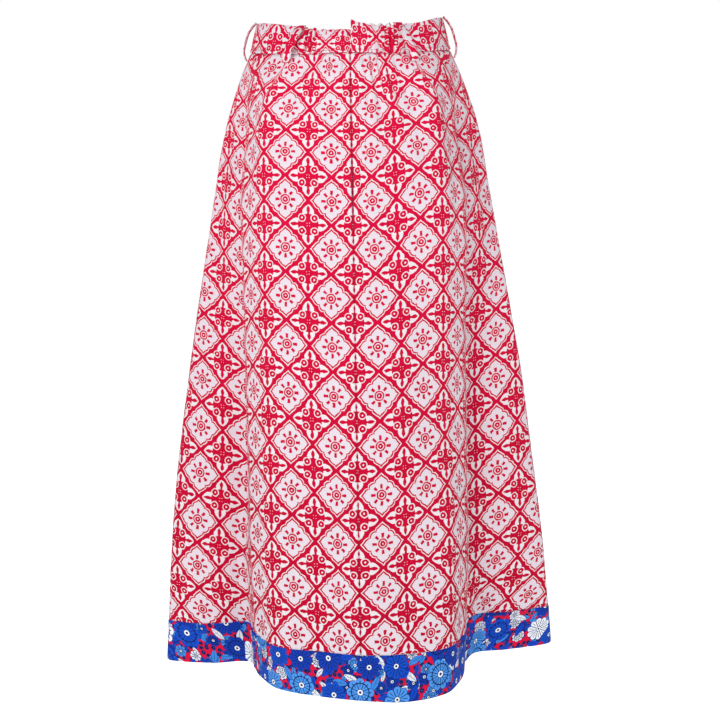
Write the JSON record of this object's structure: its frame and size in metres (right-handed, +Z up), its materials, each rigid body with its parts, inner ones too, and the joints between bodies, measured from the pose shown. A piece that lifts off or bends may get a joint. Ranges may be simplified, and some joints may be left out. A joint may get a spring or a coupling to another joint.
{
  "type": "ball skirt",
  "caption": "Long A-line cotton skirt, hollow and worn shape, with gathered elasticated back waist, back zip, belt loops and a contrast hem band.",
  "frame": {"origin": "middle of the waistband ring, half way up its height", "axes": "+Z up along the wearer, -Y towards the back of the skirt (the side with the zip), +X to the right when looking at the back"},
  "size_m": [0.5448, 0.3354, 0.8711],
  "materials": {
    "printed_cotton": "matt printed cotton",
    "waistband_cotton": "matt printed cotton, folded double",
    "hem_cotton": "matt printed cotton, doubled",
    "zip_tape": "woven zip tape"
  },
  "bodies": {
    "root": {"panel_back_left": "printed_cotton", "panel_back_right": "printed_cotton", "panel_front": "printed_cotton", "waistband_back_left": "waistband_cotton", "waistband_back_right": "waistband_cotton", "waistband_front": "waistband_cotton", "hem_band_back": "hem_cotton", "hem_band_front": "hem_cotton", "zip_tape": "zip_tape", "loop_back_left": "waistband_cotton", "loop_back_right": "waistband_cotton", "loop_side_left": "waistband_cotton", "loop_side_right": "waistband_cotton", "loop_front_left": "waistband_cotton", "loop_front_right": "waistband_cotton"}
  },
  "joints": []
}
